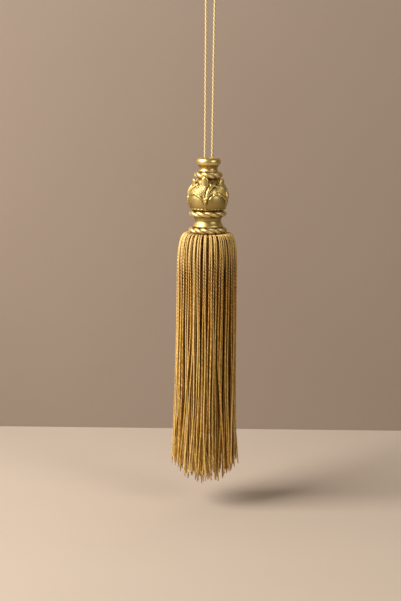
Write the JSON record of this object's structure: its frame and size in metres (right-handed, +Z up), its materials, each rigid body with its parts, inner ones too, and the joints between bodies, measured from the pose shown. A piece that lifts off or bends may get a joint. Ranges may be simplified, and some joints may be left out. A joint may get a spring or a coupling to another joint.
{
  "type": "key tassel",
  "caption": "Hanging key tassel: gilt turned head carved with acanthus leaves and bound with rope rings, on a twisted cord loop, over a full skirt of twisted strands.",
  "frame": {"origin": "the point inside the top of the loop where a hook, knob or key bears; the tassel hangs below it", "axes": "+Z up along the tassel's axis, +X across the loop's two legs, -Y towards the viewer of the front leaf"},
  "size_m": [0.0338, 0.0348, 0.2523],
  "materials": {
    "loop_cord": "pale gold two-ply viscose cord, satin",
    "gilt": "moulded resin with antique gilding, satin",
    "gilt_rope": "stiff two-ply rope, gilt with the head",
    "skirt_yarn": "old gold twisted viscose yarn, satin"
  },
  "bodies": {
    "root": {"hanging_loop": "loop_cord", "head": "gilt", "collar_rope": "gilt_rope", "waist_rope": "gilt_rope", "foot_rope": "gilt_rope", "skirt": "skirt_yarn"}
  },
  "joints": []
}
